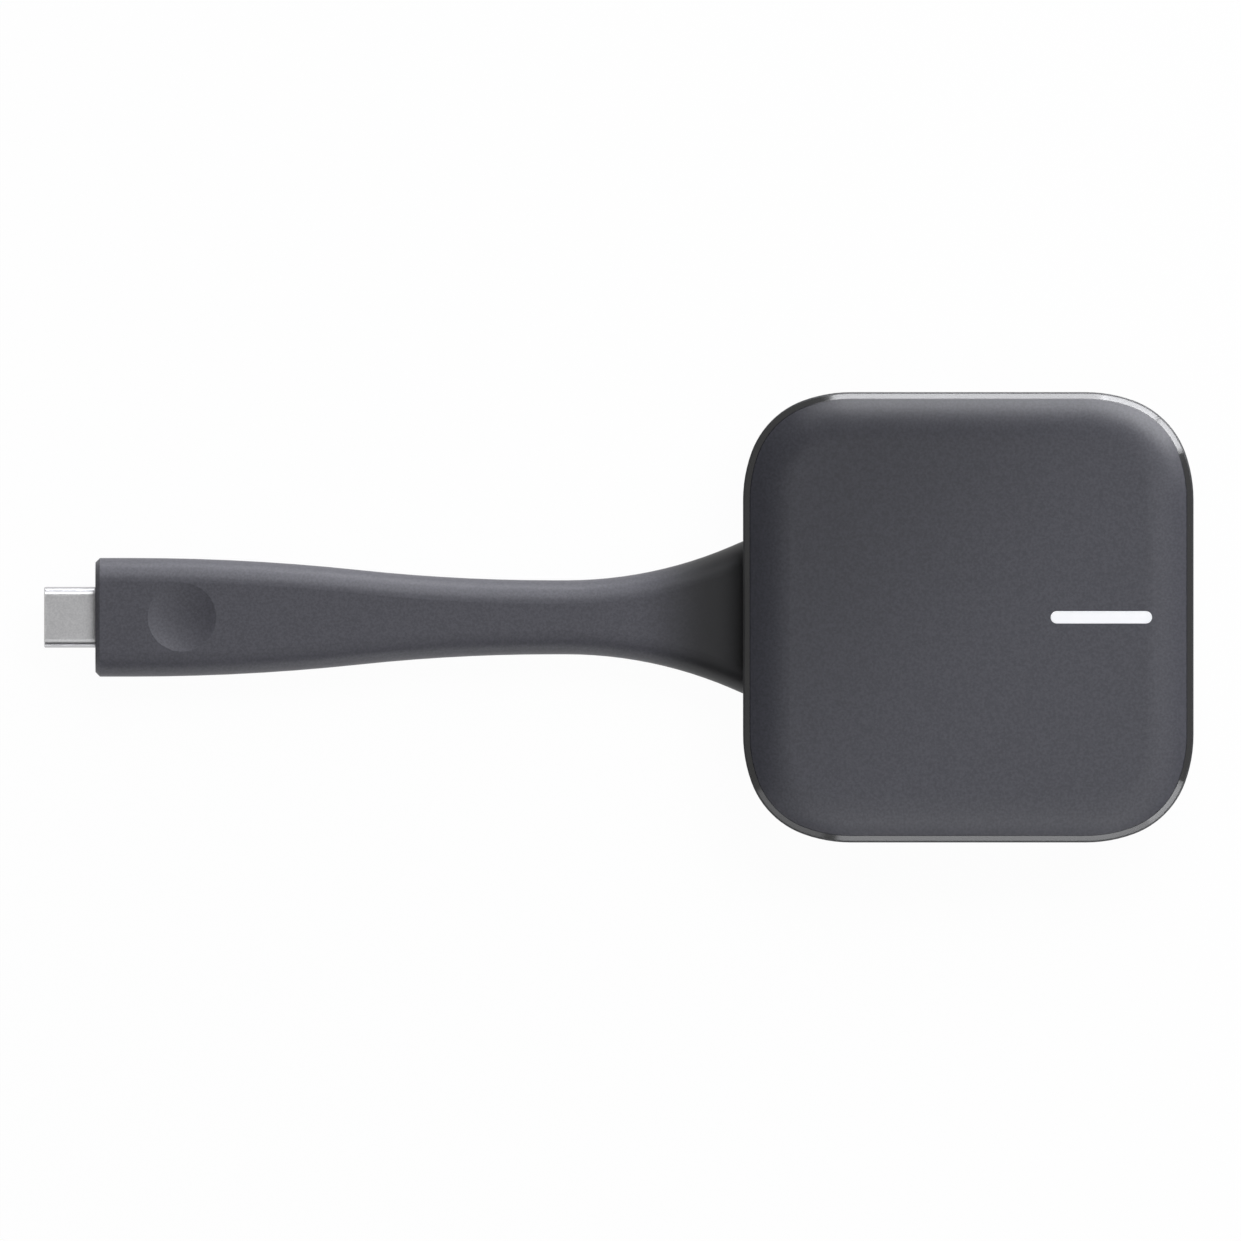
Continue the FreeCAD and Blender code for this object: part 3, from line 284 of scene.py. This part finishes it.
def plug_material():
    """Steel shell with blasted flat faces and smoother rounded sides, which are darker by painted shade."""
    material = metal("drawn_steel", PLUG_COLOUR, PLUG_ROUGHNESS,
                     line=(1.0, 1.0, 1.0), grain=0.25 * MM, depth=0.002 * MM)
    tree = material.node_tree
    low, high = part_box("plug_shell")
    sides = height_band(tree, low[2] + PLUG_SIDE, high[2] - PLUG_SIDE, PLUG_BAND_SOFTNESS)
    # Painted shade: the rounded sides get a darker colour.
    finish_band(tree, tree.nodes["Principled BSDF"], sides, PLUG_SIDE_ROUGHNESS, PLUG_SIDE_PAINTED_SHADE)
    return material


def lens_material():
    """Opal plastic that glows evenly."""
    material, tree, shader = new_material("lens_opal")
    tone = ramp(tree, noise(tree, 2 * MM), (0.86, 0.87, 0.88), (0.92, 0.92, 0.92), SOFT_SPREAD)
    tree.links.new(tone, shader.inputs["Base Color"])
    tree.links.new(tone, shader.inputs["Emission Color"])
    shader.inputs["Emission Strength"].default_value = 0.2
    shader.inputs["Roughness"].default_value = 0.35
    return material


def clear_material():
    """Clear, polished plastic."""
    material, tree, shader = new_material("guide_clear")
    tone = ramp(tree, noise(tree, 1 * MM), (0.85, 0.87, 0.88), (0.92, 0.93, 0.94), SOFT_SPREAD)
    tree.links.new(tone, shader.inputs["Base Color"])
    shader.inputs["Roughness"].default_value = 0.08
    shader.inputs["Transmission Weight"].default_value = 0.9
    return material


def dress(names, material):
    """Gives the nodes this material in every slot."""
    for name in names:
        slots = nodes[name].data.materials
        if len(slots) == 0:
            slots.append(material)
        for i in range(len(slots)):
            slots[i] = material


def dress_frame():
    dress(["press_cap"], cap_material())
    dress(["tail_sleeve"], tail_material())
    dress(["base_housing"], moulded("housing_plastic", (0.03, 0.03, 0.034), 0.48, grain=0.2 * MM))
    dress(["foot_pad"],
          moulded("foot_rubber", (0.012, 0.012, 0.013), 0.7, grain=0.3 * MM, depth=0.02 * MM))
    dress(["light_bar"], lens_material())
    dress(["light_guide"], clear_material())
    dress(["light_baffle", "status_leds"], moulded("white_plastic", (0.75, 0.75, 0.73), 0.45))
    dress(["cap_carrier", "inner_frame", "switch_body", "switch_stem", "plug_insulator"],
          moulded("black_plastic", (0.015, 0.015, 0.016), 0.5))
    dress(["cable_header", "cable_plug"], moulded("ivory_plastic", (0.7, 0.64, 0.5), 0.5))
    dress(["main_board", "plug_board"], moulded("solder_mask", (0.015, 0.12, 0.05), 0.35, spread=0.15))
    dress(["processor", "memory_chip", "flash_chip", "wifi_chip"],
          moulded("chip_epoxy", (0.02, 0.02, 0.022), 0.55, grain=0.08 * MM))
    dress(["power_inductors"], moulded("ferrite", (0.09, 0.09, 0.1), 0.6))
    dress(["capacitors"], moulded("ceramic", (0.42, 0.3, 0.18), 0.5))
    dress(["thermal_pad"], moulded("gap_pad", (0.3, 0.31, 0.34), 0.8))
    dress(["inner_cable"], moulded("cable_jacket", (0.02, 0.02, 0.022), 0.5))
    dress(["cable_wires"], moulded("wire_jacket", (0.5, 0.05, 0.04), 0.45))
    dress(["heat_spreader"], metal("aluminium_plate", (0.82, 0.82, 0.83), 0.35))
    dress(["frame_screws", "clamp_screws", "cable_clamp", "cable_ferrule"],
          metal("zinc_steel", (0.6, 0.6, 0.6), 0.3))
    dress(["wifi_shield", "antenna_left", "antenna_right", "crystal", "plug_shield"],
          metal("tin_plate", (0.68, 0.67, 0.65), 0.3))
    dress(["plug_shell", "plug_latch"], plug_material())
    dress(["plug_contacts_upper", "plug_contacts_lower"], metal("gold_plate", (0.95, 0.72, 0.3), 0.2))


def seen_share(tree, share):
    """The share where a camera, glossy or transmission ray sees the surface, and 0 for a diffuse one."""
    path = tree.nodes.new("ShaderNodeLightPath")
    seen = path.outputs["Is Camera Ray"]
    for name in ("Is Glossy Ray", "Is Transmission Ray"):
        either = tree.nodes.new("ShaderNodeMath")
        either.operation = "MAXIMUM"
        tree.links.new(seen, either.inputs[0])
        tree.links.new(path.outputs[name], either.inputs[1])
        seen = either.outputs["Value"]
    scale = tree.nodes.new("ShaderNodeMath")
    scale.operation = "MULTIPLY"
    scale.inputs[1].default_value = share
    tree.links.new(seen, scale.inputs[0])
    return scale.outputs["Value"]


def floor_material():
    """A pale matt floor that cameras and mirrors see as white, and that still shows a faint shadow."""
    material = bpy.data.materials.new("floor_white")
    material.use_nodes = True
    tree = material.node_tree
    tree.nodes.clear()
    output = tree.nodes.new("ShaderNodeOutputMaterial")
    matt = tree.nodes.new("ShaderNodeBsdfDiffuse")
    tone = ramp(tree, noise(tree, FLOOR_PATCH), *FLOOR_TONES, SOFT_SPREAD)
    tree.links.new(tone, matt.inputs["Color"])
    white = tree.nodes.new("ShaderNodeEmission")
    white.inputs["Strength"].default_value = 1.0
    mix = tree.nodes.new("ShaderNodeMixShader")
    tree.links.new(seen_share(tree, FLOOR_WHITE_SHARE), mix.inputs["Fac"])
    tree.links.new(matt.outputs["BSDF"], mix.inputs[1])
    tree.links.new(white.outputs["Emission"], mix.inputs[2])
    tree.links.new(mix.outputs["Shader"], output.inputs["Surface"])
    return material


def make_floor():
    mesh = bpy.data.meshes.new("floor")
    corners = [(x * FLOOR_REACH, y * FLOOR_REACH, 0) for x, y in ((-1, -1), (1, -1), (1, 1), (-1, 1))]
    mesh.from_pydata(corners, [], [(0, 1, 2, 3)])
    floor = bpy.data.objects.new("floor", mesh)
    bpy.context.scene.collection.objects.link(floor)
    mesh.materials.append(floor_material())


def make_world():
    """A dim room, white up to the horizon as the floor is, so that a view from the side stays white."""
    world = bpy.data.worlds.new("studio")
    bpy.context.scene.world = world
    world.use_nodes = True
    tree = world.node_tree
    room = tree.nodes["Background"]
    room.inputs["Color"].default_value = (1, 1, 1, 1)
    place = tree.nodes.new("ShaderNodeTexCoord")
    parts = tree.nodes.new("ShaderNodeSeparateXYZ")
    horizon = tree.nodes.new("ShaderNodeMapRange")
    horizon.inputs["From Min"].default_value, horizon.inputs["From Max"].default_value = HORIZON
    horizon.inputs["To Min"].default_value = 1.0
    horizon.inputs["To Max"].default_value = ROOM_LEVEL
    tree.links.new(place.outputs["Generated"], parts.inputs["Vector"])
    tree.links.new(parts.outputs["Z"], horizon.inputs["Value"])
    tree.links.new(horizon.outputs["Result"], room.inputs["Strength"])


def soft_box(name, place, width, height, radiance):
    """A rectangular lamp, turned to the dongle, whose face shines at this radiance, where 1 is white."""
    lamp = bpy.data.lights.new(name, "AREA")
    lamp.shape = "RECTANGLE"
    lamp.size = width
    lamp.size_y = height
    lamp.energy = radiance * math.pi * width * height
    lamp.color = LAMP_COLOUR
    item = bpy.data.objects.new(name, lamp)
    item.location = place
    item.visible_camera = False
    bpy.context.scene.collection.objects.link(item)
    direction = Vector(LIT) - item.location
    item.rotation_euler = direction.to_track_quat("-Z", "Y").to_euler()


def around(bearing, rise):
    """A lamp's place round the middle of the dongle, by its bearing from +X and its rise in degrees."""
    bearing, rise = math.radians(bearing), math.radians(rise)
    reach = LAMP_DISTANCE * math.cos(rise)
    return (LIT[0] + reach * math.cos(bearing),
            LIT[1] + reach * math.sin(bearing),
            LIT[2] + LAMP_DISTANCE * math.sin(rise))


def low_box(name, bearing, width, radiance):
    soft_box(name, around(bearing, LOW_RISE), width, LOW_HEIGHT, radiance)


def make_lights():
    """A bright row of low boxes at the upper right with softer boxes over it, a dimmer row below the
    dongle in the photograph with one box over it, and a top light."""
    low_box("key_right", 34.5, 0.44, 22.0)
    low_box("key_middle", 64, 0.57, 23.5)
    low_box("key_left", 88, 0.32, 17.5)
    soft_box("key_centre", around(73, 28), 0.75, 0.36, 2.0)
    soft_box("key_high", around(60, 50), 0.85, 0.42, 6.5)
    low_box("fill_right", -38.5, 0.59, 8.6)
    low_box("fill_middle", -75, 0.72, 5.4)
    low_box("fill_left", -126, 0.95, 1.95)
    soft_box("fill_high", around(-100, 60), 0.90, 0.26, 0.8)
    soft_box("overhead", OVERHEAD_PLACE, 0.54, 0.54, 1.0)


def make_camera():
    """Looks straight down from far away, over the middle of the photograph."""
    camera = bpy.data.objects.new("camera", bpy.data.cameras.new("camera"))
    middle = PHOTO_PIXELS / 2
    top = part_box("press_cap")[1][2]
    camera.location = ((middle - HEAD_CENTRE_PIXEL[0]) * PIXEL,
                       (HEAD_CENTRE_PIXEL[1] - middle) * PIXEL,
                       top + CAMERA_HEIGHT)
    camera.data.sensor_width = SENSOR
    camera.data.lens = SENSOR * CAMERA_HEIGHT / (PHOTO_PIXELS * PIXEL)
    camera.data.clip_end = CAMERA_HEIGHT * 2
    bpy.context.scene.collection.objects.link(camera)
    bpy.context.scene.camera = camera


make_camera()
dress_frame()
make_floor()
make_world()
make_lights()
bpy.context.scene.view_settings.view_transform = "Standard"
